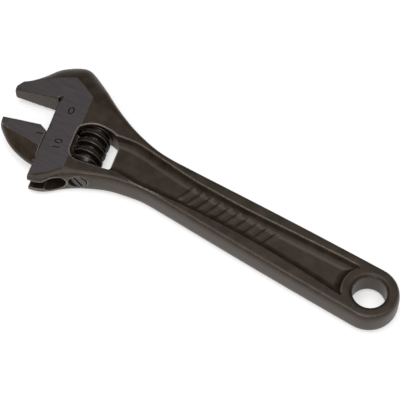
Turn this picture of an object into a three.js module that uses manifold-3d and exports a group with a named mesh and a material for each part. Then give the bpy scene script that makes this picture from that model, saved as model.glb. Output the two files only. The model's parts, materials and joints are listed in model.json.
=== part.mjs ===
// Adjustable wrench, 110 mm long, jaws opening to 13 mm. Millimetres, +Z up, lying flat.
//
// Wrench frame: X runs along the handle to its hanging hole, Y towards the back of the fixed jaw,
// and the origin is the middle of the fixed jaw's gripping face, half way through its thickness.
// Head frame: the same origin, turned by HEAD_ANGLE about Z. Its x runs from the jaw tips towards
// the handle and its y is the direction that the moving jaw travels, up to the fixed jaw.
import * as THREE from "three";
import { mergeVertices } from "three/addons/utils/BufferGeometryUtils.js";
import Module from "manifold-3d";

// ---- driving dimensions -------------------------------------------------------------------------
const HEAD_ANGLE = THREE.MathUtils.degToRad(15);
const JAW_DEPTH = 12.1; // length of the gripping faces, tip to guide face
const REST_OPENING = 8.4; // distance between the jaws as modelled
const TIP_HALF = 1.86; // half thickness of both jaws at their tips
const WEDGE_SLOPE = 0.109; // how fast each ground face of the head rises from tips to knurl
const HEAD_HALF = 4.0; // half thickness of the head beside the knurl
const HANDLE_HALF = 3.4; // half thickness of the handle
const WEB_HALF = 1.4; // half thickness of the web between the handle's two pockets

const HANDLE_AXIS_Y = -3.84;
const HOLE_X = 97.1;
const HOLE_R = 4.0;
const FUNNEL_R = 4.85; // mouth of the rounded funnel on each end of the hole
const END_R = 7.25; // rounded end of the handle
const NECK_X = 38; // where the handle is narrowest
const NECK_HALF_WIDTH = 6.05;
const BOSS_R = 6.4; // ring around the hanging hole, where the pocket stops
const POCKET_END_HALF = 4.5; // half width of the pocket where it meets that ring

const FLANK_WIDTH = 2.0; // how far the forged sides are rounded over, seen in plan
const FLANK_HEIGHT = 3.3;

const SLIDE_X = 12.1; // head frame: axis of the moving jaw's rack bar
const BORE_R = 2.65;
const BAR_R = 2.55;
const BORE_END = 1.2; // blind end of the bore, above the fixed jaw's face line
const SLOT_HALF = 1.5; // half height of the slot that lets the jaw's neck through
const NECK_HALF = 1.4;
const SLOT_END = -0.6;
const GUIDE_GAP = 0.1; // between the moving jaw and the guide face
const ROOT_RELIEF_R = 0.6; // groove in the corner of the throat
const JAW_LENGTH = 9.6; // the moving jaw, from its face down to the end of its rack bar

const PIN_X = 17.5; // head frame: axis of the knurl and its pin
const KNURL_R = 4.0;
const KNURL_CHAMFER = 0.9;
const ROOT_R = 2.75;
const PITCH = 2.6; // left-hand thread, one start
const KNURL_BORE_R = 1.35;
const PIN_R = 1.2;
const PIN_HOLE_R = 1.35;
const PIN_HEAD_R = 2.05;
const COUNTERBORE_R = 2.25;
const PIN_HEAD = { sink: 2.2, length: 1.7, slotHalf: 0.3, slotDepth: 0.8, slotTurn: 55 };
const WINDOW = { left: 13.3, right: 24.0, low: -15.8, high: -4.9, leftCorner: 0.8, rightCorner: 1.6 };
const KNURL_END_GAP = 0.15;
const MESH_GAP = 0.2; // between the knurl's thread and the rack's teeth
const SPRING = { coilR: 1.7, wireR: 0.22, turns: 3.5, pocketR: 2.1, pocketDepth: 2.2 };

const TIP_X = -JAW_DEPTH / 2; // head frame
const GUIDE_X = JAW_DEPTH / 2;
const FAR = 200; // longer than the wrench, for cutters that run right through

// ---- solids -------------------------------------------------------------------------------------
const wasm = await Module();
wasm.setup();

// A three.js geometry as a manifold-3d solid.
function solid(geometry) {
  const plain = geometry.index ? geometry.toNonIndexed() : geometry.clone();
  plain.deleteAttribute("normal");
  plain.deleteAttribute("uv");
  const merged = mergeVertices(plain, 1e-4);
  return new wasm.Manifold(
    new wasm.Mesh({
      numProp: 3,
      vertProperties: merged.attributes.position.array,
      triVerts: new Uint32Array(merged.index.array),
    }),
  );
}

// A manifold-3d solid as a flat-shaded three.js geometry.
function geometryOf(manifold) {
  const mesh = manifold.getMesh();
  const corners = new Float32Array(mesh.numVert * 3);
  for (let i = 0; i < mesh.numVert; i++) {
    corners.set(mesh.vertProperties.subarray(i * mesh.numProp, i * mesh.numProp + 3), i * 3);
  }
  const geometry = new THREE.BufferGeometry();
  geometry.setAttribute("position", new THREE.BufferAttribute(corners, 3));
  geometry.setIndex(new THREE.BufferAttribute(mesh.triVerts, 1));
  const flat = geometry.toNonIndexed();
  flat.computeVertexNormals();
  return flat;
}

// A plan outline made solid between two heights.
function slab(shape, low, high, curveSegments = 10) {
  const geometry = new THREE.ExtrudeGeometry(shape, {
    depth: high - low,
    bevelEnabled: false,
    curveSegments,
  });
  return solid(geometry.translate(0, 0, low));
}

function box(x0, x1, y0, y1, z0, z1) {
  const geometry = new THREE.BoxGeometry(x1 - x0, y1 - y0, z1 - z0);
  return solid(geometry.translate((x0 + x1) / 2, (y0 + y1) / 2, (z0 + z1) / 2));
}

// A rod along the travel direction.
function rod(x, radius, y0, y1, sides = 24) {
  const geometry = new THREE.CylinderGeometry(radius, radius, y1 - y0, sides);
  return solid(geometry.translate(x, (y0 + y1) / 2, 0));
}

// A shape drawn in (x, z), made solid along y from y0 to y1.
function acrossTravel(shape, y0, y1) {
  const geometry = new THREE.ExtrudeGeometry(shape, { depth: y1 - y0, bevelEnabled: false });
  return solid(geometry.rotateX(Math.PI / 2).translate(0, y1, 0));
}

const points = (pairs) => pairs.map(([x, y]) => new THREE.Vector2(x, y));
const polygon = (pairs) => new THREE.Shape(points(pairs));

// A solid drawn in the head frame, moved to the wrench frame.
const toWrench = (manifold) => manifold.rotate([0, 0, THREE.MathUtils.radToDeg(HEAD_ANGLE)]);

// A head-frame point in the wrench frame.
function head(x, y) {
  return new THREE.Vector2(x, y).rotateAround(new THREE.Vector2(), HEAD_ANGLE);
}

// ---- shared outlines ----------------------------------------------------------------------------
// Half thickness of the head at x in the head frame: a wedge up to the knurl, then down to the handle.
const halfAt = (x) => TIP_HALF + WEDGE_SLOPE * (x - TIP_X);

// Side view of the whole wrench, which gives every forging its thickness.
function sideView() {
  const ridge = TIP_X + (HEAD_HALF - TIP_HALF) / WEDGE_SLOPE;
  const stations = [
    [TIP_X - 5, halfAt(TIP_X - 5)],
    [ridge, HEAD_HALF],
    [ridge + 4, HEAD_HALF - 0.15],
    [ridge + 12, HANDLE_HALF],
    [FAR, HANDLE_HALF],
  ];
  const under = stations.map(([x, z]) => [x, -z]).reverse();
  return acrossTravel(polygon([...stations, ...under]), -FAR, FAR);
}

// Half width of the handle at x, growing from the neck to the rounded end.
function handleHalfWidth(x) {
  return NECK_HALF_WIDTH + ((END_R - NECK_HALF_WIDTH) * (x - NECK_X)) / (HOLE_X - NECK_X);
}

// Plan outline of the body before the jaw throat is cut. The left edge is beyond what is kept.
function blankOutline() {
  const shape = new THREE.Shape();
  const start = head(TIP_X - 5, -4);
  shape.moveTo(start.x, start.y);
  const bottomLeft = head(1.5, -24.6);
  shape.lineTo(bottomLeft.x, bottomLeft.y);
  const toe = head(8.8, -24.1);
  shape.lineTo(toe.x, toe.y);
  const heel = head(11.4, -23.05);
  shape.lineTo(heel.x, heel.y);
  const underside = points([[21.1, -15.8], [25.5, -13.1], [30, -11.35], [35, -10.3]]);
  shape.splineThru([...underside, new THREE.Vector2(NECK_X + 4, HANDLE_AXIS_Y - handleHalfWidth(NECK_X + 4))]);
  shape.lineTo(HOLE_X, HANDLE_AXIS_Y - END_R);
  shape.absarc(HOLE_X, HANDLE_AXIS_Y, END_R, -Math.PI / 2, Math.PI / 2, false);
  shape.lineTo(NECK_X, HANDLE_AXIS_Y + NECK_HALF_WIDTH);
  const back = points([[33, 2.7], [26.9, 4.4], [20.7, 6.9], [14.6, 10.1], [11.2, 11.8], [7.6, 13.0]]);
  const jawBack = points([[4.4, 12.5], [2.0, 10.8], [0, 8.5], [-2.2, 5.4]]);
  shape.splineThru([...back, ...jawBack, head(TIP_X, 2.9)]);
  const beyondTip = head(TIP_X - 5, 1.4);
  shape.lineTo(beyondTip.x, beyondTip.y);
  shape.closePath();
  return shape;
}

// The forged blank: its sides are rounded over like a quarter of an ellipse.
function forgedBlank(outline, curveSegments) {
  const geometry = new THREE.ExtrudeGeometry(outline, {
    depth: 2 * (HEAD_HALF - FLANK_HEIGHT),
    bevelThickness: FLANK_HEIGHT,
    bevelSize: FLANK_WIDTH,
    bevelOffset: -FLANK_WIDTH,
    bevelSegments: 4,
    curveSegments,
  });
  return solid(geometry.translate(0, 0, FLANK_HEIGHT - HEAD_HALF));
}

// ---- body: fixed jaw, head and handle in one forging --------------------------------------------
// The jaw throat, with the relief groove in its corner, and what lies beyond the rounded tip.
function throat() {
  const gap = box(TIP_X - 9, GUIDE_X, -40, 0, -FAR, FAR);
  const rootRelief = new THREE.CylinderGeometry(ROOT_RELIEF_R, ROOT_RELIEF_R, 12, 12).rotateX(Math.PI / 2);
  const nose = new THREE.Shape();
  nose.moveTo(TIP_X, -1);
  nose.lineTo(TIP_X, 1.1);
  nose.quadraticCurveTo(TIP_X, 2.6, TIP_X + 1.5, 3.4);
  nose.lineTo(TIP_X + 1.5, 9);
  nose.lineTo(TIP_X - 9, 9);
  nose.lineTo(TIP_X - 9, -1);
  const beyond = slab(nose, -6, 6, 5);
  return toWrench(gap.add(solid(rootRelief.translate(GUIDE_X, 0, 0))).add(beyond));
}

function knurlWindow() {
  const { left, right, low, high, leftCorner, rightCorner } = WINDOW;
  const shape = new THREE.Shape();
  shape.moveTo(left + leftCorner, low);
  shape.lineTo(right - rightCorner, low);
  shape.absarc(right - rightCorner, low + rightCorner, rightCorner, -Math.PI / 2, 0, false);
  shape.absarc(right - rightCorner, high - rightCorner, rightCorner, 0, Math.PI / 2, false);
  shape.absarc(left + leftCorner, high - leftCorner, leftCorner, Math.PI / 2, Math.PI, false);
  shape.absarc(left + leftCorner, low + leftCorner, leftCorner, Math.PI, 1.5 * Math.PI, false);
  return toWrench(slab(shape, -6, 6, 4));
}

function slideBore() {
  const bore = rod(SLIDE_X, BORE_R, -40, BORE_END);
  const slot = box(0, SLIDE_X, -40, SLOT_END, -SLOT_HALF, SLOT_HALF);
  return toWrench(bore.add(slot));
}

function pinHole() {
  const hole = rod(PIN_X, PIN_HOLE_R, -40, WINDOW.high + 4.6, 16);
  const counterbore = rod(PIN_X, COUNTERBORE_R, -40, WINDOW.low - 2.1);
  return toWrench(hole.add(counterbore));
}

// One side's pocket: it opens into the knurl's window and stops short of the hole's ring.
function handlePocket(side) {
  const upper = points([[28.4, 1.2], [37, 0.6], [45, -0.1], [55, -0.3], [75, 0.4]]);
  const lower = points([[67, -7.5], [53, -7.8], [44, -8.5], [36, -9.2], [29.5, -9.1], [24.5, -10.2]]);
  const cornerAngle = Math.asin(POCKET_END_HALF / BOSS_R);
  const endX = HOLE_X - BOSS_R * Math.cos(cornerAngle);
  const shape = new THREE.Shape();
  shape.moveTo(22.5, 0.1);
  shape.splineThru([...upper, new THREE.Vector2(endX - 1.5, HANDLE_AXIS_Y + POCKET_END_HALF)]);
  shape.lineTo(endX, HANDLE_AXIS_Y + POCKET_END_HALF);
  shape.absarc(HOLE_X, HANDLE_AXIS_Y, BOSS_R, Math.PI - cornerAngle, Math.PI + cornerAngle, false);
  shape.splineThru(lower);
  shape.closePath();
  return side > 0 ? slab(shape, WEB_HALF, 9, 4) : slab(shape, -9, -WEB_HALF, 4);
}

// The hanging hole, with a rounded funnel at both ends.
function hangingHole() {
  const lip = FUNNEL_R - HOLE_R;
  const outside = FUNNEL_R + 1;
  const funnel = (side) => {
    const z = side * HANDLE_HALF;
    return [0, 1, 2, 3].map((k) => {
      const angle = (k / 3) * (Math.PI / 2);
      return new THREE.Vector2(FUNNEL_R - lip * Math.sin(angle), z - side * lip * (1 - Math.cos(angle)));
    });
  };
  const profile = [
    new THREE.Vector2(0, -HANDLE_HALF - 2),
    new THREE.Vector2(outside, -HANDLE_HALF - 2),
    ...funnel(-1),
    ...funnel(1).reverse(),
    new THREE.Vector2(outside, HANDLE_HALF + 2),
    new THREE.Vector2(0, HANDLE_HALF + 2),
  ];
  const geometry = new THREE.LatheGeometry(profile, 40).rotateX(Math.PI / 2);
  const cutter = solid(geometry);
  return cutter.translate([HOLE_X, HANDLE_AXIS_Y, 0]);
}

function body() {
  return [
    throat(),
    knurlWindow(),
    slideBore(),
    pinHole(),
    handlePocket(1),
    handlePocket(-1),
    hangingHole(),
  ].reduce(
    (metal, cutter) => metal.subtract(cutter),
    forgedBlank(blankOutline(), 8).intersect(toWrench(sideView())),
  );
}

// ---- thread of the knurl ------------------------------------------------------------------------
const THREAD_SIDES = 16; // facets in a turn
const CREST = 0.19; // half of the crest, as a share of the pitch
const FLANK_END = 0.34; // where the flank meets the root, as a share of the pitch

// Radius of the thread's section at a share of a turn. `grow` makes the clearance of the rack's cutter.
function threadRadius(share, grow) {
  const away = Math.abs(share - Math.round(share)) - grow / PITCH;
  const fall = THREE.MathUtils.clamp((away - CREST) / (FLANK_END - CREST), 0, 1);
  return KNURL_R - fall * (KNURL_R - ROOT_R) + grow;
}

// A left-hand worm from y0 to y1: its cross-section is one shape, turned as it climbs.
function worm(y0, y1, grow) {
  const section = [];
  for (let i = 0; i < THREAD_SIDES; i++) {
    const share = i / THREAD_SIDES;
    const radius = threadRadius(share, grow);
    const angle = share * 2 * Math.PI;
    section.push([radius * Math.cos(angle), radius * Math.sin(angle)]);
  }
  const steps = Math.round(((y1 - y0) / PITCH) * THREAD_SIDES);
  const geometry = new THREE.ExtrudeGeometry(polygon(section), {
    depth: y1 - y0,
    steps,
    bevelEnabled: false,
  });
  const corners = geometry.attributes.position;
  const corner = new THREE.Vector3();
  const axis = new THREE.Vector3(0, 0, 1);
  for (let i = 0; i < corners.count; i++) {
    corner.fromBufferAttribute(corners, i);
    corner.applyAxisAngle(axis, (-2 * Math.PI * (corner.z + y0)) / PITCH);
    corners.setXYZ(i, corner.x, corner.y, corner.z);
  }
  return solid(geometry.rotateX(-Math.PI / 2).translate(PIN_X, y0, 0));
}

// ---- moving jaw: jaw, neck and rack bar in one forging -------------------------------------------
// Drawn with its gripping face on y = 0, and moved down by the opening.
function jawBlank() {
  const back = [[TIP_X - 6, -0.6], [TIP_X, -2.6], [-3.0, -4.7], [1.4, -7.7], [5.95, -9.8], [14, -12.5]];
  return forgedBlank(polygon([[14, 8], [TIP_X - 6, 8], ...back]), 1);
}

function movingJaw() {
  const right = GUIDE_X - GUIDE_GAP;
  const keep = box(TIP_X, right, -10, 0, -FAR, FAR);
  const chamfer = slab(polygon([[3.9, 0.1], [right + 0.1, -1.5], [right + 0.1, 0.1]]), -6, 6);
  const jaw = jawBlank().intersect(keep).subtract(chamfer).intersect(sideView());
  const neck = box(right - 1, SLIDE_X, -JAW_LENGTH, -1.0, -NECK_HALF, NECK_HALF);
  const bar = rod(SLIDE_X, BAR_R, -JAW_LENGTH, 0.3);
  return jaw
    .add(neck.add(bar))
    .translate([0, -REST_OPENING, 0])
    .subtract(worm(-REST_OPENING - 11, -REST_OPENING + 2, MESH_GAP));
}

// ---- knurl, its pin and its spring ---------------------------------------------------------------
const KNURL_LOW = WINDOW.low + KNURL_END_GAP;
const KNURL_HIGH = WINDOW.high - KNURL_END_GAP;

// A round bar on the pin's axis with chamfered ends, which trims the worm.
function chamferedBar() {
  const radius = KNURL_R + 0.01;
  const profile = [
    [0, KNURL_LOW],
    [radius - KNURL_CHAMFER, KNURL_LOW],
    [radius, KNURL_LOW + KNURL_CHAMFER],
    [radius, KNURL_HIGH - KNURL_CHAMFER],
    [radius - KNURL_CHAMFER, KNURL_HIGH],
    [0, KNURL_HIGH],
  ];
  return solid(new THREE.LatheGeometry(points(profile), 32).translate(PIN_X, 0, 0));
}

function knurl() {
  const bore = rod(PIN_X, KNURL_BORE_R, KNURL_LOW - 1, KNURL_HIGH + 1, 16);
  const springPocket = rod(PIN_X, SPRING.pocketR, KNURL_LOW - 1, KNURL_LOW + SPRING.pocketDepth, 16);
  return worm(KNURL_LOW, KNURL_HIGH, 0).intersect(chamferedBar()).subtract(bore.add(springPocket));
}

function knurlPin() {
  const headTop = WINDOW.low - PIN_HEAD.sink;
  const headBottom = headTop - PIN_HEAD.length;
  const shank = rod(PIN_X, PIN_R, headTop - 0.5, WINDOW.high + 4.3, 16);
  const screwHead = rod(PIN_X, PIN_HEAD_R, headBottom, headTop);
  const { slotHalf, slotDepth, slotTurn } = PIN_HEAD;
  const slot = box(-slotHalf, slotHalf, headBottom - 1, headBottom + slotDepth, -5, 5);
  const turned = slot.rotate([0, slotTurn, 0]).translate([PIN_X, 0, 0]);
  return shank.add(screwHead).subtract(turned);
}

class Coil extends THREE.Curve {
  constructor(radius, length, turns) {
    super();
    Object.assign(this, { radius, length, turns });
  }

  getPoint(share, target = new THREE.Vector3()) {
    const angle = share * this.turns * 2 * Math.PI;
    return target.set(this.radius * Math.cos(angle), share * this.length, this.radius * Math.sin(angle));
  }
}

function knurlSpring() {
  const { coilR, wireR, turns, pocketDepth } = SPRING;
  const clear = KNURL_END_GAP + wireR;
  const coil = new Coil(coilR, pocketDepth + KNURL_END_GAP - 2 * clear, turns);
  const wire = new THREE.Shape().absarc(0, 0, wireR, 0, 2 * Math.PI, false);
  const geometry = new THREE.ExtrudeGeometry(wire, {
    steps: Math.round(turns * 16),
    extrudePath: coil,
    curveSegments: 6,
  });
  return solid(geometry.translate(PIN_X, WINDOW.low + clear, 0));
}

// ---- the assembly --------------------------------------------------------------------------------
const forgedSteel = new THREE.MeshStandardMaterial({ color: 0x4a4340, roughness: 0.5, metalness: 0.8 });
const blackSteel = new THREE.MeshStandardMaterial({ color: 0x141314, roughness: 0.3, metalness: 0.8 });
const springSteel = new THREE.MeshStandardMaterial({ color: 0x8a8a88, roughness: 0.3, metalness: 1 });

function piece(name, manifold, material) {
  const mesh = new THREE.Mesh(geometryOf(manifold), material);
  mesh.name = name;
  return mesh;
}

const headGroup = new THREE.Group();
headGroup.rotation.z = HEAD_ANGLE;
headGroup.add(
  piece("moving_jaw", movingJaw(), forgedSteel),
  piece("knurl", knurl(), blackSteel),
  piece("knurl_pin", knurlPin(), blackSteel),
  piece("knurl_spring", knurlSpring(), springSteel),
);

const wrench = new THREE.Group();
wrench.add(piece("body", body(), forgedSteel), headGroup);

export default wrench;
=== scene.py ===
"""Looks of the adjustable wrench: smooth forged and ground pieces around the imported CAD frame.

Every solid is a signed distance field in millimetres, negative inside, meshed on a fine grid and then
moved onto the exact surface. x, y, z is the shared frame. p, q is the head's own frame in plan: the same
origin, p from the jaw tips towards the handle and q along the moving jaw's travel. s is q measured from
the moving jaw's gripping face.
"""

import json
import math

import bmesh
import bpy
import numpy as np
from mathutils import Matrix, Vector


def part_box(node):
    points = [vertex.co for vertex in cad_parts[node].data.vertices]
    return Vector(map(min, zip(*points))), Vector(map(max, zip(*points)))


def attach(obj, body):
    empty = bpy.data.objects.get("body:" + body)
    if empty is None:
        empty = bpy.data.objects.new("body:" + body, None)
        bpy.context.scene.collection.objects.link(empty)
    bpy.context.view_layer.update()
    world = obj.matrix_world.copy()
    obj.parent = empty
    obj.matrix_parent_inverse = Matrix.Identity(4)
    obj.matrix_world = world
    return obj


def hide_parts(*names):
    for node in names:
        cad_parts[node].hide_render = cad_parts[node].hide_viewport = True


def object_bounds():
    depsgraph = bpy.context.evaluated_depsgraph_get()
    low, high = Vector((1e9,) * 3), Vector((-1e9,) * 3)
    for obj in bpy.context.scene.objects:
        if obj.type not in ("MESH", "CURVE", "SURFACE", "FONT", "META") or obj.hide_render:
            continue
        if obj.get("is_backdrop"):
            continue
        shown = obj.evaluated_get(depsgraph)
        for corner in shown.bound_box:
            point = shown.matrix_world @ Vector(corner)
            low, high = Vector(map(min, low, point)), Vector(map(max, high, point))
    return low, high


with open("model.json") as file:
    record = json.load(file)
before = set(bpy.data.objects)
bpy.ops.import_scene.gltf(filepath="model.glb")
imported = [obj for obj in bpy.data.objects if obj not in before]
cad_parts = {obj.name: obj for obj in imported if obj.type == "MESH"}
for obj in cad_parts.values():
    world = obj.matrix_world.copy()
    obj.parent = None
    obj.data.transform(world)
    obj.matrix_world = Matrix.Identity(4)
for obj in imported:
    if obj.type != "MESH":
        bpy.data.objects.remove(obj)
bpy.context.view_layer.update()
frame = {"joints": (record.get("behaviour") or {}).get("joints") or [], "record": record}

import openvdb as vdb
from mathutils import Vector

# ---- driving dimensions, mm ----------------------------------------------------------------------------
MM = 0.001
RECORD = frame["record"]
JOINTS = {joint["name"]: joint for joint in frame["joints"]}
MOUNTS = {mount["name"]: mount for mount in RECORD["mounts"]}
OPENINGS = {opening["name"]: opening for opening in RECORD["physics"]["openings"]}

TRAVEL = JOINTS["jaw_slide"]["axis"]
HEAD_ANGLE = math.atan2(-TRAVEL[0], TRAVEL[1])
COS = math.cos(HEAD_ANGLE)
SIN = math.sin(HEAD_ANGLE)


def to_head(x, y):
    """x, y as p, q."""
    return x * COS + y * SIN, y * COS - x * SIN


def to_wrench(p, q):
    """p, q as x, y."""
    return p * COS - q * SIN, p * SIN + q * COS


PIN_P = to_head(*JOINTS["knurl_spin"]["pos_m"][:2])[0] / MM
OPENING = -to_head(*MOUNTS["moving_jaw_face"]["pos_m"][:2])[1] / MM
HOLE_X, HOLE_Y = [sum(c[i] for c in OPENINGS["hanging_hole"]["box_m"]) / 2 / MM for i in (0, 1)]

# Head: a slim ground wedge, thinnest at the jaw tips, that runs into the forged crown around the knurl.
TIP_P = -6.05
TIP_HALF = 1.86
WEDGE_SLOPE = 0.109
CROWN_P = 12.0
CROWN_RISE = 0.62
CROWN_FALL = 7.0
HEAD_END = (13, 17)  # p over which the head's flanks turn into the handle's
FOOT_START = (17, 21)  # -q over which the head's flanks turn boxy
HEAD_POWER = 2.0  # roundness of flanks: 2 is an ellipse, more is boxier
FOOT_POWER = 6.0
LAND_BREAK = 0.6  # how much of a flank's curve is skipped beside a ground face

# Throat, and the bore and slot in which the jaw slides.
GUIDE_P = 6.05
GUIDE_GAP = 0.1
RELIEF_R = 0.62  # small round relief in the throat's corner
RELIEF_SHIFT = 0.05
SLIDE_P = 12.1
BORE_R = 2.65
BORE_END = 1.2
SLOT_HALF = 1.5
SLOT_END = -0.6

# Handle: rounded rims, a pocket on each face with a thin web between, and a ring end.
HANDLE_HALF = 3.4
HANDLE_POWER = 3.4
HANDLE_STATIONS = [(38, 5.83), (45, 5.95), (60, 6.42), (75, 6.8), (90, 7.05)]  # x and half width
RIM_ROUND = 1.25
END_R = 7.12
HOLE_R = 4.08
FUNNEL = 0.95  # rounding of the hanging hole's lips
WEB_HALF = 1.4
POCKET_INSET = 0.25
POCKET_FILLET = 1.0
DRAFT = math.radians(30)
RIB_START = 46.5
RIB_PITCH = 2.6
RIB_COUNT = 10
RIB_SLANT = 0.35
RIB_HALF_LENGTH = 1.7
RIB_HEIGHT = 0.16
RIB_SIDE = (0.3, 0.8)

# Moving jaw: a bevel beside the throat, and the neck that joins the jaw to its toothed bar.
BEVEL_P = 4.0
BEVEL_NORMAL = (0.597, 0.802)
NECK_HALF = 1.4
NECK_MIDDLE = (8.6, -5.3)
NECK_REACH = (3.4, 4.25)
BAR_R = 2.55
BAR_MIDDLE = -4.75
BAR_REACH = 5.05
RACK_GAP = 0.2

# Knurl and the screw that it turns on.
KNURL_R = 4.0
ROOT_R = 2.75
PITCH = 2.6
CREST_HALF = 0.5
ROOT_HALF = 0.88
KNURL_LOW = -15.65
KNURL_HIGH = -5.05
KNURL_CHAMFER = 0.9
PIN_HOLE_R = 1.35
RECESS_R = 2.1
RECESS_DEPTH = 2.2
PIN_HOLE_END = -0.3
SHANK_R = 1.2
SHANK_MIDDLE = -9.6
SHANK_REACH = 8.95
SCREW_SEAT = -17.9
SCREW_HOLE_R = 2.25
CAP_R = 2.05
CAP_MIDDLE = -18.85
CAP_REACH = 0.85
DRIVER_TURN = math.radians(55)
DRIVER_HALF = 0.3
DRIVER_FLOOR = -18.9
SCREW_BOX = (2.1, -19.7, -0.6)  # radius, low q and high q around the screw

# Spring in the knurl's recess.
SPRING_TURNS = 3.5
SPRING_R = 1.7
WIRE_R = 0.22
SPRING_LOW = KNURL_LOW + WIRE_R
SPRING_RISE = 1.61
WIRE_SIDES = 14
WIRE_RINGS = 220
WIRE_TIP = 0.35  # thickness at the wire's tips, as a share of the rest
WIRE_TAPER = 48  # how fast that share grows along the wire

# Engraved marks.
MARK_HALF = 0.2
MARK_DEPTH = 0.15
MARK_EDGE = 0.03
MARK_LEVEL = 2.0  # the marks lie above this z
MARK_BOX = ((8.4, 11.6), (-15.2, -1.4))  # around the scale, in p and q
SCALE_REACH = 0.4  # how near the scale the mesh is refined
INDEX_REACH = 0.5  # and how near the jaw's index line
MARK_FADE = (-0.04, 0.1)
ZERO_MARK = ((9.9, -2.75), 0.62, 0.95)
TEN_ZERO_MARK = ((10.0, -12.1), 0.85, 0.52)
TEN_ONE_MARK = ((9.15, -13.9), (10.8, -13.9))
JAW_INDEX = ((3.9, -2.6), (5.3, -2.6))

# Radii of edges and fillets.
CUT_EDGE = 0.1
EASED_EDGE = 0.15
SOFT_EDGE = 0.3
RELIEF_EDGE = 0.06
RACK_EDGE = 0.08
LAND_EDGE = 0.12
POCKET_RIM = 0.25
WINDOW_RIM = 0.28
CREST_EDGE = 0.14
ROOT_FILLET = 0.25
KNURL_EDGE = 0.12
TURNED_EDGE = 0.2
DRIVER_EDGE = 0.05

# Meshing: grid cells, and the distance over which slopes are taken.
BODY_CELL = 0.25
JAW_CELL = 0.14
TURNED_CELL = 0.12
SLOPE_STEP = 0.012
LEAST_SLOPE = 0.04  # squared slope; flatter places count as this steep when points are moved
LONGEST_STEP = 0.5  # in cells, for a point that is moved
NARROWEST = 0.15  # narrowest flank that is drawn to scale
FAR = 3.0  # flanks are cut off at this share and distance, where they no longer matter
FULL_BEND = 2.5  # bending, 1/mm, that counts as a full edge

# Masks fade over these ranges: height off the ground face, upward normal, distance in from its outline,
# and distance from the throat.
GROUND_LEVEL = (0.03, 0.12)
GROUND_FACING = (0.9, 0.97)
GROUND_INSIDE = (0.0, 0.15)
THROAT_FADE = (0.1, 0.5)


# ---- outlines ------------------------------------------------------------------------------------------
def curve(points, steps=8):
    """A smooth curve through the points."""
    pts = np.array(points, float)
    ends = np.vstack([2 * pts[0] - pts[1], pts, 2 * pts[-1] - pts[-2]])
    out = []
    for a, b, c, d in zip(ends, ends[1:], ends[2:], ends[3:]):
        for t in np.arange(steps) / steps:
            bend = (2 * a - 5 * b + 4 * c - d) * t * t + (3 * b - a - 3 * c + d) * t**3
            out.append(b + ((c - a) * t + bend) / 2)
    return out + [pts[-1]]


def arc(cx, cy, radius, start, end, steps=40):
    """An arc, in degrees, anticlockwise when end is past start."""
    angles = np.radians(np.linspace(start, end, steps))
    return [np.array([cx + radius * math.cos(a), cy + radius * math.sin(a)]) for a in angles]


def head_points(*pairs):
    """Points given in p, q as points in x, y."""
    return [to_wrench(p, q) for p, q in pairs]


class Plan:
    """Signed distance to a closed outline, held on a square grid and read back smoothly."""

    CELL = 0.25

    def __init__(self, outline, low, high):
        self.low = low
        xs, ys = [np.arange(a, b, self.CELL) for a, b in zip(low, high)]
        x, y = np.meshgrid(xs, ys, indexing="ij")
        nearest = np.full(x.shape, 1e9)
        inside = np.zeros(x.shape, bool)
        corners = np.array(outline)
        for (x0, y0), (x1, y1) in zip(corners, np.roll(corners, -1, 0)):
            dx, dy = x1 - x0, y1 - y0
            length = dx * dx + dy * dy
            if length < 1e-12:
                continue
            t = np.clip(((x - x0) * dx + (y - y0) * dy) / length, 0, 1)
            nearest = np.minimum(nearest, (x - x0 - t * dx) ** 2 + (y - y0 - t * dy) ** 2)
            if dy:
                spans = (y >= min(y0, y1)) & (y < max(y0, y1))
                inside ^= spans & (x < x0 + (y - y0) * dx / dy)
        self.values = np.where(inside, -1, 1) * np.sqrt(nearest)

    def __call__(self, x, y):
        u = (x - self.low[0]) / self.CELL
        v = (y - self.low[1]) / self.CELL
        i = np.clip(np.floor(u).astype(int), 1, self.values.shape[0] - 3)
        j = np.clip(np.floor(v).astype(int), 1, self.values.shape[1] - 3)
        across = self.weights(np.clip(u - i, 0, 1))
        along = self.weights(np.clip(v - j, 0, 1))
        total = 0
        for k, a in enumerate(across):
            for m, b in enumerate(along):
                total = total + a * b * self.values[i + k - 1, j + m - 1]
        return total

    @staticmethod
    def weights(t):
        """Catmull-Rom weights of the four grid lines around t."""
        return (
            (-t + 2 * t**2 - t**3) / 2,
            (2 - 5 * t**2 + 3 * t**3) / 2,
            (t + 4 * t**2 - 3 * t**3) / 2,
            (t**3 - t**2) / 2,
        )


WRENCH_LOW, WRENCH_HIGH = (-13, -29), (108, 17)
JAW_LOW, JAW_HIGH = (-12, -16), (18, 10)


def handle_side(sign, inset=0.0):
    """One long side of the handle, from the neck to the rounded end."""
    return [(x, HOLE_Y + sign * (half - inset)) for x, half in HANDLE_STATIONS]


def widest_outline():
    """The body at mid-thickness, before the throat is cut."""
    toe = [(-6.1, -23.85), (6.3, -23.85), (8.2, -23.85), (9.7, -23.5), (11.1, -22.85), (12.4, -22.1)]
    toe = head_points(*toe)
    belly = [*head_points((13.7, -21.3), (16.3, -20.3)), (23.7, -13.75), (28.8, -11.45), (34.5, -10.15)]
    lower = curve([*toe[1:], *belly, *handle_side(-1), (HOLE_X, HOLE_Y - END_R)])
    end = arc(HOLE_X, HOLE_Y, END_R, -90, 90)
    back = [(33, 2.6), (26.9, 4.2), (20.7, 6.75), (14.6, 9.95), (11.3, 11.9), (8.1, 13.4), (6.1, 13.9)]
    jaw_back = [(4.1, 13.4), (1.6, 11.8), (-0.6, 9.6), (-2.5, 6.0)]
    tip = head_points((-3.7, 3.9), (-5.0, 3.4))
    upper = curve([*handle_side(1)[::-1], *back, *jaw_back, *tip])
    return [toe[0], *lower, *end, *upper, *head_points((-6.15, 1.6), (-6.1, -1.5))]


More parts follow.
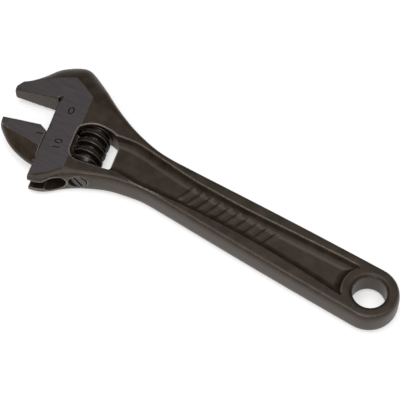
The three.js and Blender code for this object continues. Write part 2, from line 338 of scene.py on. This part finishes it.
def top_outline():
    """Where the flat top gives way to the rounded flanks."""
    foot = head_points((-5.95, -23.2), (6.0, -23.2), (10.6, -21.1), (13.65, -18.8))
    lower = curve([foot[-1], (22.7, -12.7), (28.2, -10.25), (34.2, -8.8), *handle_side(-1, RIM_ROUND)])
    end = arc(HOLE_X, HOLE_Y, END_R - RIM_ROUND, -90, 90)
    crown = [(32.6, 0.95), (26.3, 2.4), (20.0, 4.0), *head_points((14.9, 1.25))]
    upper = curve([*handle_side(1, RIM_ROUND)[::-1], *crown])
    corner = curve(head_points((10.6, 5.0), (8.8, 6.3), (8.1, 6.85), (7.1, 6.95), (3.5, 5.95), (0, 4.75)))
    tip = head_points((-2.85, 3.45), (-4.75, 2.75), (-5.98, 1.2), (-5.98, -1.5))
    return [*foot[:3], *lower, *end, *upper, *corner, *tip]


def window_outline():
    """The opening in which the knurl turns."""
    top = curve([(13.3, -8.4), (13.7, -6.7), (15.7, -5.3), (18.1, -4.8), (21.4, -5.5), (23.4, -6.8)])
    right = [(24.0, -8.2), (24.0, -14.6), (23.5, -15.5), (22.6, -15.85)]
    left = curve([(15.6, -15.85), (14.4, -15.2), (13.5, -13.7), (13.3, -11.5)])
    return head_points(*top, *right, *left)


def pocket_outline():
    """The pocket's rim, run out past the window at the head end and round the ring at the other."""
    upper = [(21.0, -1.2), (23, 0.05), (25.7, 0.7), (28.4, 1.1), (31.4, 1.1), (37, 0.6), (45, -0.1)]
    upper += [(51, -0.3), (62, -0.2), (75.7, 0.45), (89.2, 1.0), (91.4, 0.95), (92.2, 0.4)]
    lower = [(92.2, -8.1), (91.4, -8.6), (89.3, -8.55), (80.9, -7.95), (66.8, -7.5), (53, -7.85)]
    lower += [(44.9, -8.4), (40.6, -8.7), (36.5, -9.1), (32.5, -9.1), (29.5, -9.05), (27.2, -9.6)]
    ring_r, ring_half_turn = 6.4, 38
    ring = arc(HOLE_X, HOLE_Y, ring_r, 180 - ring_half_turn, 180 + ring_half_turn)
    return [*curve(upper), *ring, *curve(lower), (24.0, -10.3), (21.0, -8.0)]


def jaw_outline():
    """The moving jaw at mid-thickness, in p and s."""
    back = [(-6.1, -1.7), (-5.75, -2.4), (-4.8, -3.6), (-3.1, -5.5), (-1.2, -7.1), (1.3, -8.6)]
    back += [(3.8, -9.7), (6.4, -10.3)]
    return [(-6.1, 4), *curve(back), (12, -10.3), (12, 4)]


def jaw_top_outline():
    """Where the moving jaw's ground faces give way to its back."""
    edge = [(-5.95, -0.9), (-5.7, -1.7), (-4.6, -2.5), (-1.5, -3.6), (1.5, -4.55), (4.6, -5.7), (6.4, -6.1)]
    return [(-5.95, 4), *curve(edge), (12, -6.1), (12, 4)]


WIDEST = Plan(widest_outline(), WRENCH_LOW, WRENCH_HIGH)
TOP = Plan(top_outline(), WRENCH_LOW, WRENCH_HIGH)
WINDOW = Plan(window_outline(), WRENCH_LOW, WRENCH_HIGH)
POCKET = Plan(pocket_outline(), WRENCH_LOW, WRENCH_HIGH)
JAW_WIDEST = Plan(jaw_outline(), JAW_LOW, JAW_HIGH)
JAW_TOP = Plan(jaw_top_outline(), JAW_LOW, JAW_HIGH)


# ---- fields --------------------------------------------------------------------------------------------
def both(a, b, radius):
    """What lies inside both, its edge rounded to the radius."""
    beyond = np.hypot(np.maximum(a + radius, 0), np.maximum(b + radius, 0))
    return np.minimum(np.maximum(a, b), -radius) + beyond


def either(a, b, radius):
    """Joins two solids with a fillet."""
    return -both(-a, -b, radius)


def without(a, b, radius):
    """Cuts b out of a and rounds the edge that's left."""
    return both(a, -b, radius)


def ramp(value, start, end):
    """Rises smoothly from 0 at start to 1 at end."""
    t = np.clip((value - start) / (end - start), 0, 1)
    return t * t * (3 - 2 * t)


def ground_half(p):
    """Half thickness between the ground faces."""
    return TIP_HALF + WEDGE_SLOPE * (p - TIP_P)


def forged_half(p):
    """Half thickness of the forged crown: it falls from the knurl to the handle."""
    away = np.maximum(p - CROWN_P, 0) / CROWN_FALL
    return HANDLE_HALF + CROWN_RISE * np.exp(-away * away)


def flanks(inner, outer, z, top, edge, power):
    """Sides rounded over like a superellipse from the inner outline, at the top, to the outer one.
    edge is how much of the curve is skipped at the top, which leaves a crisp line there."""
    width = np.maximum(inner - outer, NARROWEST)
    share = edge + (1 - edge) * np.clip(inner / width, 0, FAR)
    height = top / (1 - edge**power) ** (1 / power)
    rise = np.abs(z) / height
    reach = (share**power + rise**power) ** (1 / power)
    slope_out = share ** (power - 1) * (1 - edge) / width
    slope_up = rise ** (power - 1) / height
    return np.maximum((reach - 1) / (np.hypot(slope_out, slope_up) + 1e-2), -FAR)


def ground_plane(p, z):
    """The wedge between the ground faces."""
    return (np.abs(z) - ground_half(p)) / math.hypot(1, WEDGE_SLOPE)


def rod(a, b, radius):
    """A round rod, from the distances a and b across it."""
    return np.hypot(a, b) - radius


def grip_ribs(x, y):
    """Low slanted ribs on the pocket's floor: their height above it."""
    along = x - RIB_START - RIB_SLANT * (y - HOLE_Y)
    nearest = np.abs(along - RIB_PITCH * np.clip(np.round(along / RIB_PITCH), 0, RIB_COUNT - 1))
    reach = np.hypot(nearest, np.maximum(np.abs(y - HOLE_Y) - RIB_HALF_LENGTH, 0))
    return RIB_HEIGHT * (1 - ramp(reach, *RIB_SIDE))


def ring_mark(p, q, centre, half_width, half_height):
    """Distance from the line of an upright oval, near enough along the line and finite at the centre."""
    u = (p - centre[0]) / half_width
    v = (q - centre[1]) / half_height
    size = np.hypot(u, v)
    steepness = np.maximum(np.hypot(u * half_height, v * half_width), 0.2) / np.maximum(size, 0.3)
    return np.abs(size - 1) * half_width * half_height / steepness


def stroke(p, q, start, end):
    """Distance from a straight stroke."""
    dp, dq = end[0] - start[0], end[1] - start[1]
    t = np.clip(((p - start[0]) * dp + (q - start[1]) * dq) / (dp * dp + dq * dq), 0, 1)
    return np.hypot(p - start[0] - t * dp, q - start[1] - t * dq)


def scale_marks(p, q):
    """The opening scale: 0, and a 10 that reads along the head, ten millimetres apart along the travel."""
    zero = ring_mark(p, q, *ZERO_MARK)
    ten_zero = ring_mark(p, q, *TEN_ZERO_MARK)
    ten_one = stroke(p, q, *TEN_ONE_MARK)
    return np.minimum(np.minimum(zero, ten_zero), ten_one) - MARK_HALF


def engrave(field, marks, p, z):
    """Sinks the marks into the upper ground face."""
    groove = np.maximum(marks, (ground_half(p) - MARK_DEPTH) - z)
    return without(field, groove, MARK_EDGE)


def pocket(x, y, z):
    """What the pockets take out: drafted walls, a filleted floor and the ribs on the upper one."""
    high = np.abs(z)
    walls = (POCKET(x, y) + POCKET_INSET + math.tan(DRAFT) * (HANDLE_HALF - high)) * math.cos(DRAFT)
    floor = WEB_HALF + np.where(z > 0, grip_ribs(x, y), 0) - high
    return both(walls, floor, POCKET_FILLET)


def forged_blank(x, y, z):
    """The body's outer form, with the ground faces and before any hole."""
    p, q = to_head(x, y)
    land = 1 - ramp(p, *HEAD_END)
    foot = land * ramp(-q, *FOOT_START)
    power = HANDLE_POWER + (HEAD_POWER - HANDLE_POWER) * land + (FOOT_POWER - HEAD_POWER) * foot
    top = np.minimum(ground_half(p), forged_half(p))
    sides = flanks(TOP(x, y), WIDEST(x, y), z, top, LAND_BREAK * land, power)
    return both(sides, ground_plane(p, z), LAND_EDGE)


def body_field(x, y, z, marked=True):
    """The body with its pocket, window, throat, bores and holes, and its scale if marked."""
    p, q = to_head(x, y)
    f = without(forged_blank(x, y, z), pocket(x, y, z), POCKET_RIM)
    f = without(f, WINDOW(x, y), WINDOW_RIM)
    f = without(f, np.maximum(q, p - GUIDE_P), CUT_EDGE)
    f = without(f, rod(p - GUIDE_P - RELIEF_SHIFT, q - RELIEF_SHIFT, RELIEF_R), RELIEF_EDGE)
    bore = both(rod(p - SLIDE_P, z, BORE_R), q - BORE_END, SOFT_EDGE)
    f = without(f, bore, EASED_EDGE)
    slot = np.maximum(np.maximum(np.abs(z) - SLOT_HALF, p - SLIDE_P), q - SLOT_END)
    f = without(f, slot, EASED_EDGE)
    f = without(f, np.maximum(rod(p - PIN_P, z, PIN_HOLE_R), q - PIN_HOLE_END), CUT_EDGE)
    f = without(f, np.maximum(rod(p - PIN_P, z, SCREW_HOLE_R), q - SCREW_SEAT), EASED_EDGE)
    f = without(f, rod(x - HOLE_X, y - HOLE_Y, HOLE_R), FUNNEL)
    return engrave(f, scale_marks(p, q), p, z) if marked else f


def thread(p, q, z):
    """The knurl's endless left-hand worm: narrow flat crests on a round root."""
    away = p - PIN_P
    radius = np.hypot(away, z)
    turns = np.arctan2(-z, away) / (2 * math.pi) + q / PITCH
    along = np.abs(turns - np.round(turns)) * PITCH
    run, fall = ROOT_HALF - CREST_HALF, KNURL_R - ROOT_R
    side = ((along - CREST_HALF) * fall + (radius - KNURL_R) * run) / math.hypot(run, fall)
    crest = both(side, radius - KNURL_R, CREST_EDGE)
    return either(crest, radius - ROOT_R, ROOT_FILLET)


def knurl_field(p, q, z):
    """The worm, chamfered at both ends, with its bore and the spring's recess."""
    radius = np.hypot(p - PIN_P, z)
    middle, half = (KNURL_LOW + KNURL_HIGH) / 2, (KNURL_HIGH - KNURL_LOW) / 2
    end = np.abs(q - middle) - half
    chamfer = (end + radius - KNURL_R + KNURL_CHAMFER) / math.sqrt(2)
    f = both(thread(p, q, z), both(end, chamfer, TURNED_EDGE), KNURL_EDGE)
    f = without(f, radius - PIN_HOLE_R, EASED_EDGE)
    return without(f, np.maximum(radius - RECESS_R, q - KNURL_LOW - RECESS_DEPTH), CUT_EDGE)


def jaw_field(p, q, z, marked=True):
    """The moving jaw, its neck and its bar, whose teeth are cut by the knurl's own thread."""
    s = q + OPENING
    f = flanks(JAW_TOP(p, s), JAW_WIDEST(p, s), z, ground_half(p), LAND_BREAK, HEAD_POWER)
    bevel = (p - BEVEL_P) * BEVEL_NORMAL[0] + s * BEVEL_NORMAL[1]
    for face in (ground_plane(p, z), s, p - GUIDE_P + GUIDE_GAP, bevel):
        f = both(f, face, CUT_EDGE)
    neck = np.maximum(np.abs(z) - NECK_HALF, np.abs(p - NECK_MIDDLE[0]) - NECK_REACH[0])
    f = either(f, np.maximum(neck, np.abs(s - NECK_MIDDLE[1]) - NECK_REACH[1]), CUT_EDGE)
    bar = both(rod(p - SLIDE_P, z, BAR_R), np.abs(s - BAR_MIDDLE) - BAR_REACH, SOFT_EDGE)
    f = either(f, bar, EASED_EDGE)
    f = without(f, thread(p, q, z) - RACK_GAP, RACK_EDGE)
    return engrave(f, stroke(p, s, *JAW_INDEX) - MARK_HALF, p, z) if marked else f


def pin_field(p, q, z):
    """The screw: a shank and a cap with a driver slot."""
    radius = np.hypot(p - PIN_P, z)
    shank = both(radius - SHANK_R, np.abs(q - SHANK_MIDDLE) - SHANK_REACH, TURNED_EDGE)
    cap = both(radius - CAP_R, np.abs(q - CAP_MIDDLE) - CAP_REACH, SOFT_EDGE)
    across = (p - PIN_P) * math.sin(DRIVER_TURN) + z * math.cos(DRIVER_TURN)
    slot = np.maximum(np.abs(across) - DRIVER_HALF, q - DRIVER_FLOOR)
    return without(either(shank, cap, TURNED_EDGE), slot, DRIVER_EDGE)


# ---- meshes --------------------------------------------------------------------------------------------
def gradient(field, at):
    """The field's slope at the points."""
    out = np.empty_like(at)
    for axis in range(3):
        shift = np.zeros(3)
        shift[axis] = SLOPE_STEP
        out[:, axis] = (field(*(at + shift).T) - field(*(at - shift).T)) / (2 * SLOPE_STEP)
    return out


def settle(field, points, cell, rounds=3):
    """Moves points onto the surface; returns them and the surface's normals."""
    for _ in range(rounds):
        slope = gradient(field, points)
        size = np.maximum((slope**2).sum(1), LEAST_SLOPE)
        longest = LONGEST_STEP * cell
        step = np.clip(field(*points.T) / size, -longest, longest)
        points = points - step[:, None] * slope
    slope = gradient(field, points)
    return points, slope / np.maximum(np.linalg.norm(slope, axis=1), 1e-6)[:, None]


def surface(field, low, high, cell):
    """Points and quads of a field's surface within a box."""
    axes = [np.arange(a - 2 * cell, b + 2 * cell, cell) for a, b in zip(low, high)]
    grids = axes[0][:, None, None], axes[1][None, :, None], axes[2][None, None, :]
    band = 3 * cell
    values = np.clip(np.broadcast_to(field(*grids), [len(a) for a in axes]), -band, band)
    grid = vdb.FloatGrid(band)
    grid.copyFromArray(np.ascontiguousarray(values, np.float32))
    points, quads = grid.convertToQuads(0.0)
    return points.astype(float) * cell + [a[0] for a in axes], quads


def refined(points, quads, inside, cuts):
    """Splits the quads whose middles are inside, for detail finer than the grid."""
    mesh = bpy.data.meshes.new("refining")
    mesh.from_pydata(points, [], quads.tolist())
    work = bmesh.new()
    work.from_mesh(mesh)
    faces = [f for f, hit in zip(work.faces, inside(points[quads].mean(1))) if hit]
    edges = {edge for face in faces for edge in face.edges}
    bmesh.ops.subdivide_edges(work, edges=list(edges), cuts=cuts, use_grid_fill=True)
    work.to_mesh(mesh)
    work.free()
    return mesh


def coordinates(mesh):
    """The mesh's points, one to a row."""
    flat = np.empty(len(mesh.vertices) * 3)
    mesh.vertices.foreach_get("co", flat)
    return flat.reshape(-1, 3)


def bending(mesh, points, normals):
    """How sharply the surface bends outwards at each vertex, 1/mm, smoothed once."""
    ends = np.empty(len(mesh.edges) * 2, int)
    mesh.edges.foreach_get("vertices", ends)
    a, b = ends.reshape(-1, 2).T
    along = points[b] - points[a]
    bend = ((normals[b] - normals[a]) * along).sum(1) / np.maximum((along**2).sum(1), 1e-4)
    total, count = np.zeros(len(points)), np.zeros(len(points))
    for end in (a, b):
        np.add.at(total, end, bend)
        np.add.at(count, end, 1)
    mean = total / np.maximum(count, 1)
    around = np.zeros(len(points))
    for end, other in ((a, b), (b, a)):
        np.add.at(around, end, mean[other])
    return (mean + around / np.maximum(count, 1)) / 2


def put(mesh, name, values):
    """Stores a value for each point, for the materials to read by name."""
    attribute = mesh.attributes.new(name, "FLOAT", "POINT")
    attribute.data.foreach_set("value", np.ascontiguousarray(values, np.float32))


def piece(name, mesh, points, normals, material, body, node, masks=(), wear_and_highlight=1.0):
    """Finishes a mesh given in millimetres in the shared frame and hangs it on the frame.
    wear_and_highlight scales how much the edges are lightened, partly for wear and partly as painted
    highlight."""
    # the edge value lightens bent edges in the materials: partly wear, partly painted highlight
    put(mesh, "edge", wear_and_highlight * np.clip(bending(mesh, points, normals) / FULL_BEND, -1, 1))
    for label, values in masks:
        put(mesh, label, values)
    mesh.vertices.foreach_set("co", (points * MM).ravel())
    mesh.update()
    mesh.shade_smooth()
    mesh.normals_split_custom_set_from_vertices(normals.tolist())
    mesh.materials.append(material)
    made = bpy.data.objects.new(name, mesh)
    bpy.context.scene.collection.objects.link(made)
    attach(made, body)
    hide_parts(node)


def from_head(vectors):
    """Rows of p, q, z as rows of x, y, z."""
    x, y = to_wrench(vectors[:, 0], vectors[:, 1])
    return np.column_stack([x, y, vectors[:, 2]])


def ground_mask(p, z, normals_z, inner):
    """1 on the ground faces of the head."""
    level = 1 - ramp(np.abs(np.abs(z) - ground_half(p)), *GROUND_LEVEL)
    return level * ramp(np.abs(normals_z), *GROUND_FACING) * (1 - ramp(inner, *GROUND_INSIDE))


def dark_mark(distance, z):
    """1 in the engraved marks, which hold the dark coating."""
    return (1 - ramp(distance, *MARK_FADE)) * (z > 1)


# ---- materials -----------------------------------------------------------------------------------------
class Finish:
    """A node material in the making."""

    def __init__(self, name):
        self.material = bpy.data.materials.new(name)
        self.material.use_nodes = True
        self.tree = self.material.node_tree
        self.shader = self.tree.nodes["Principled BSDF"]
        self.place = self.add("ShaderNodeTexCoord").outputs["Object"]

    def add(self, kind, links=(), **settings):
        """Adds a node with its settings; links pair an input's name with what feeds it."""
        node = self.tree.nodes.new(kind)
        for key, value in settings.items():
            if key in node.inputs:
                node.inputs[key].default_value = value
            else:
                setattr(node, key, value)
        for socket, source in links:
            self.tree.links.new(source, node.inputs[socket])
        return node

    def noise(self, size_mm, detail=4.0, roughness=0.55, stretch=None, turn=0.0):
        """Noise with features of about size_mm; stretch scales each axis."""
        place = self.place
        if stretch:
            mapping = self.add("ShaderNodeMapping", [("Vector", place)])
            mapping.inputs["Scale"].default_value = stretch
            mapping.inputs["Rotation"].default_value = (0, 0, -turn)
            place = mapping.outputs["Vector"]
        node = self.add("ShaderNodeTexNoise", [("Vector", place)])
        node.inputs["Scale"].default_value = 1 / (size_mm * MM)
        node.inputs["Detail"].default_value = detail
        node.inputs["Roughness"].default_value = roughness
        return node.outputs["Fac"]

    def ramp(self, source, stops):
        """Turns a value into colours or greys by the stops."""
        node = self.add("ShaderNodeValToRGB", [("Fac", source)])
        while len(node.color_ramp.elements) < len(stops):
            node.color_ramp.elements.new(0.5)
        for element, (position, colour) in zip(node.color_ramp.elements, stops):
            element.position = position
            element.color = (*colour, 1) if isinstance(colour, tuple) else (colour, colour, colour, 1)
        return node.outputs["Color"]

    def mix(self, factor, a, b):
        """a where the factor is 0 and b where it is 1."""
        node = self.add("ShaderNodeMix", data_type="RGBA")
        for socket, source in ((0, factor), (6, a), (7, b)):
            self.tree.links.new(source, node.inputs[socket])
        return node.outputs[2]

    def attribute(self, name):
        """What put() stored on the mesh under this name."""
        return self.add("ShaderNodeAttribute", attribute_name=name).outputs["Fac"]

    def bump(self, height, distance_mm, strength, below=None):
        """A normal bumped by the height, on top of the one below."""
        node = self.add("ShaderNodeBump", [("Height", height)])
        node.inputs["Distance"].default_value = distance_mm * MM
        node.inputs["Strength"].default_value = strength
        if below:
            self.tree.links.new(below, node.inputs["Normal"])
        return node.outputs["Normal"]

    def finish(self, **sources):
        """Sets or links the shader's inputs, named with _ for a space, and returns the material."""
        for name, source in sources.items():
            socket = self.shader.inputs[name.replace("_", " ")]
            if isinstance(source, float):
                socket.default_value = source
            else:
                self.tree.links.new(source, socket)
        return self.material


def forged_steel():
    """Dark phosphated steel: brown and soft where forged, greyer and smoother where ground; bent edges
    lighter, partly wear and partly painted highlight.
    """
    made = Finish("forged_steel")
    mottle = made.noise(3.5, 6, 0.6)
    grain = made.noise(0.35, 5, 0.65)
    lines = made.noise(0.9, 4, 0.6, stretch=(0.12, 2.6, 1), turn=HEAD_ANGLE)
    ground = made.attribute("ground")
    edge = made.ramp(made.attribute("edge"), [(0.2, 0.0), (0.5, 1.0), (0.95, 0.25)])
    forged_colour = made.ramp(mottle, [(0.34, (0.016, 0.0092, 0.0042)), (0.66, (0.04, 0.026, 0.0148))])
    ground_colour = made.ramp(lines, [(0.3, (0.06, 0.052, 0.055)), (0.7, (0.086, 0.075, 0.079))])
    # lighter colour on bent edges and rims: partly edge wear, partly painted highlight lines
    wear_and_highlight_colour = made.ramp(grain, [(0.35, (0.07, 0.058, 0.05)), (0.65, (0.3, 0.265, 0.24))])
    base = made.mix(ground, forged_colour, ground_colour)
    base = made.mix(edge, base, wear_and_highlight_colour)
    stain = made.ramp(mottle, [(0.3, (0.006, 0.005, 0.005)), (0.7, (0.01, 0.009, 0.009))])
    base = made.mix(made.attribute("mark"), base, stain)
    forged_rough = made.ramp(mottle, [(0.3, 0.36), (0.7, 0.46)])
    ground_rough = made.ramp(lines, [(0.3, 0.34), (0.7, 0.42)])
    rough = made.mix(ground, forged_rough, ground_rough)
    skin = made.bump(grain, 0.05, 0.35)
    scratched = made.bump(lines, 0.02, 0.25, skin)
    made.shader.inputs["Specular Tint"].default_value = (1.0, 0.94, 0.89, 1)
    return made.finish(Base_Color=base, Roughness=rough, Normal=scratched, Metallic=0.2)


def black_steel():
    """Blackened, oiled and nearly black, with the crests and edges lighter, partly rubbed and partly painted
    highlight.
    """
    made = Finish("black_steel")
    mottle = made.noise(1.2, 5)
    grain = made.noise(0.2, 4)
    edge = made.ramp(made.attribute("edge"), [(0.25, 0.0), (0.9, 1.0)])
    dark = made.ramp(mottle, [(0.3, (0.007, 0.0045, 0.003)), (0.7, (0.013, 0.0095, 0.007))])
    # lighter colour on bent crests and edges: partly rubbing, partly painted highlight
    rubbed_and_highlight = made.ramp(grain, [(0.3, (0.035, 0.028, 0.023)), (0.7, (0.12, 0.1, 0.085))])
    rough = made.ramp(mottle, [(0.3, 0.2), (0.7, 0.3)])
    skin = made.bump(grain, 0.02, 0.2)
    return made.finish(Base_Color=made.mix(edge, dark, rubbed_and_highlight), Roughness=rough, Normal=skin, Metallic=0.2)


def spring_steel():
    """Drawn wire with faint lines."""
    made = Finish("spring_steel")
    lines = made.noise(0.15, 4)
    colour = made.ramp(lines, [(0.3, (0.35, 0.34, 0.33)), (0.7, (0.5, 0.49, 0.48))])
    rough = made.ramp(lines, [(0.3, 0.25), (0.7, 0.38)])
    return made.finish(Base_Color=colour, Roughness=rough, Normal=made.bump(lines, 0.01, 0.2), Metallic=1.0)


# ---- the pieces ----------------------------------------------------------------------------------------
def build_body(material):
    """The forged body; its edges around the throat aren't lightened by the edge wear and painted highlight.
    """
    low, high = [[v / MM for v in corner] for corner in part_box("body")]
    points, quads = surface(lambda x, y, z: body_field(x, y, z, marked=False), low, high, BODY_CELL)

    def marked(at):
        p, q = to_head(at[:, 0], at[:, 1])
        (p0, p1), (q0, q1) = MARK_BOX
        near = (p > p0) & (p < p1) & (q > q0) & (q < q1) & (scale_marks(p, q) < SCALE_REACH)
        return near & (at[:, 2] > MARK_LEVEL)

    mesh = refined(points, quads, marked, 3)
    points, normals = settle(body_field, coordinates(mesh), BODY_CELL)
    x, y, z = points.T
    p, q = to_head(x, y)
    ground = ground_mask(p, z, normals[:, 2], TOP(x, y))
    ground *= ground_half(p) < forged_half(p) + 0.05
    masks = [("ground", ground), ("mark", dark_mark(scale_marks(p, q), z))]
    # fades the painted edge highlight and edge wear to nothing at the throat
    beside_throat = ramp(np.maximum(q, p - GUIDE_P), *THROAT_FADE)
    piece("body_forging", mesh, points, normals, material, "wrench_body", "body", masks, beside_throat)


def build_jaw(material):
    """The moving jaw with its neck and bar."""
    low = (TIP_P - 0.3, -OPENING - 10.6, -4.2)
    high = (SLIDE_P + BAR_R + 0.1, -OPENING + 0.4, 4.2)
    points, quads = surface(lambda p, q, z: jaw_field(p, q, z, marked=False), low, high, JAW_CELL)

    def marked(at):
        return (at[:, 2] > MARK_LEVEL) & (stroke(at[:, 0], at[:, 1] + OPENING, *JAW_INDEX) < INDEX_REACH)

    mesh = refined(points, quads, marked, 2)
    points, normals = settle(jaw_field, coordinates(mesh), JAW_CELL)
    p, q, z = points.T
    s = q + OPENING
    ground = ground_mask(p, z, normals[:, 2], JAW_TOP(p, s))
    index = stroke(p, s, *JAW_INDEX) - MARK_HALF
    masks = [("ground", ground), ("mark", dark_mark(index, z))]
    piece("jaw_forging", mesh, from_head(points), from_head(normals), material, "jaw", "moving_jaw", masks)


def turned(name, field, radius, low, high, material, body, node):
    """A turned piece on the knurl's axis, between low and high in q."""
    corners = (PIN_P - radius, low, -radius), (PIN_P + radius, high, radius)
    points, quads = surface(field, *corners, TURNED_CELL)
    mesh = bpy.data.meshes.new(name)
    mesh.from_pydata(points, [], quads.tolist())
    points, normals = settle(field, points, TURNED_CELL)
    piece(name, mesh, from_head(points), from_head(normals), material, body, node)


def build_knurl(material):
    """The worm that the thumb turns."""
    turned("knurl_worm", knurl_field, KNURL_R + 0.1, KNURL_LOW, KNURL_HIGH, material, "adjuster", "knurl")


def build_pin(material):
    """The screw on which the knurl turns."""
    turned("pin_screw", pin_field, *SCREW_BOX, material, "wrench_body", "knurl_pin")


def spring_ring(share, angles):
    """Points and normals around the wire at a share of its length, in p, q, z."""
    turn = 2 * np.pi * SPRING_TURNS * share
    out = np.array([math.cos(turn), 0, math.sin(turn)])
    climb = SPRING_RISE / (2 * np.pi * SPRING_TURNS)
    tangent = np.array([-SPRING_R * math.sin(turn), climb, SPRING_R * math.cos(turn)])
    side = np.cross(tangent / np.linalg.norm(tangent), out)
    normals = np.outer(np.cos(angles), out) + np.outer(np.sin(angles), side)
    centre = np.array([PIN_P, SPRING_LOW + SPRING_RISE * share, 0]) + SPRING_R * out
    thickness = min(1, WIRE_TIP + WIRE_TAPER * min(share, 1 - share))
    return centre + WIRE_R * thickness * normals, normals


def build_spring(material):
    """A compression spring in the knurl's recess, its wire tapered at both ends."""
    angles = 2 * np.pi * np.arange(WIRE_SIDES) / WIRE_SIDES
    rings = [spring_ring(share, angles) for share in np.linspace(0, 1, WIRE_RINGS)]
    points = np.vstack([ring[0] for ring in rings])
    normals = np.vstack([ring[1] for ring in rings])
    faces = []
    for i in range(WIRE_RINGS - 1):
        for k in range(WIRE_SIDES):
            a, b = i * WIRE_SIDES + k, i * WIRE_SIDES + (k + 1) % WIRE_SIDES
            faces.append((a, a + WIRE_SIDES, b + WIRE_SIDES, b))
    last = (WIRE_RINGS - 1) * WIRE_SIDES
    faces += [list(range(WIRE_SIDES)), [last + k for k in reversed(range(WIRE_SIDES))]]
    mesh = bpy.data.meshes.new("spring_wire")
    mesh.from_pydata(points, [], faces)
    piece("spring_wire", mesh, from_head(points), from_head(normals), material, "wrench_body",
          "knurl_spring")


# ---- stage ---------------------------------------------------------------------------------------------
FLOOR_SPAN = 12
FLOOR_SHADE = 0.9
FLOOR_ROUGHNESS = 0.9
FLOOR_GLOW = 0.45
# Lights: name, place and size in metres, and power in watts.
LIGHTS = [
    ("overhead", (0.05, -0.05, 0.6), 0.6, 2.2),
    ("front", (0.2, -0.5, 0.4), 0.3, 1.1),
]
SKY_STRENGTH = 0.2
VIEW_AZIMUTH = math.radians(33)
VIEW_ELEVATION = math.radians(58.5)
VIEW_DISTANCE = 0.45
VIEW_LENS = 168.6
VIEW_SENSOR = 36
VIEW_NEAREST = 0.01
VIEW_CENTRE = (0.049561, -0.002703, 0.0)


def floor():
    """A pale floor under the wrench, far wider than it."""
    low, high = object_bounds()
    half = FLOOR_SPAN * max(high[0] - low[0], high[1] - low[1])
    cx, cy = (low[0] + high[0]) / 2, (low[1] + high[1]) / 2
    corners = [(cx - half, cy - half), (cx + half, cy - half), (cx + half, cy + half), (cx - half, cy + half)]
    mesh = bpy.data.meshes.new("floor")
    mesh.from_pydata([(x, y, low[2]) for x, y in corners], [], [(0, 1, 2, 3)])
    pale = bpy.data.materials.new("pale_floor")
    pale.use_nodes = True
    shader = pale.node_tree.nodes["Principled BSDF"]
    shader.inputs["Base Color"].default_value = (FLOOR_SHADE, FLOOR_SHADE, FLOOR_SHADE, 1)
    shader.inputs["Roughness"].default_value = FLOOR_ROUGHNESS
    shader.inputs["Emission Color"].default_value = (1, 1, 1, 1)
    shader.inputs["Emission Strength"].default_value = FLOOR_GLOW
    mesh.materials.append(pale)
    made = bpy.data.objects.new("floor", mesh)
    bpy.context.scene.collection.objects.link(made)
    made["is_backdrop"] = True


def light(name, place, size, power):
    """A round soft light aimed at the wrench."""
    data = bpy.data.lights.new(name, "AREA")
    data.shape = "DISK"
    data.size = size
    data.energy = power
    made = bpy.data.objects.new(name, data)
    made.location = place
    made.rotation_euler = (Vector(VIEW_CENTRE) - Vector(place)).to_track_quat("-Z", "Y").to_euler()
    bpy.context.scene.collection.objects.link(made)


def camera():
    """The view of the photograph, as fitted to it."""
    level, up = math.cos(VIEW_ELEVATION), math.sin(VIEW_ELEVATION)
    back = Vector((math.sin(VIEW_AZIMUTH) * level, -math.cos(VIEW_AZIMUTH) * level, up))
    data = bpy.data.cameras.new("camera")
    data.lens = VIEW_LENS
    data.sensor_width = VIEW_SENSOR
    data.clip_start = VIEW_NEAREST
    made = bpy.data.objects.new("camera", data)
    made.location = Vector(VIEW_CENTRE) + VIEW_DISTANCE * back
    made.rotation_euler = back.to_track_quat("Z", "Y").to_euler()
    bpy.context.scene.collection.objects.link(made)
    bpy.context.scene.camera = made


def studio():
    """Even white surroundings and two soft lights."""
    world = bpy.data.worlds.new("studio")
    bpy.context.scene.world = world
    world.use_nodes = True
    sky = world.node_tree.nodes["Background"]
    sky.inputs["Color"].default_value = (1, 1, 1, 1)
    sky.inputs["Strength"].default_value = SKY_STRENGTH
    for settings in LIGHTS:
        light(*settings)
    bpy.context.scene.view_settings.view_transform = "Standard"


forged, black = forged_steel(), black_steel()
build_body(forged)
build_jaw(forged)
build_knurl(black)
build_pin(black)
build_spring(spring_steel())
floor()
studio()
camera()
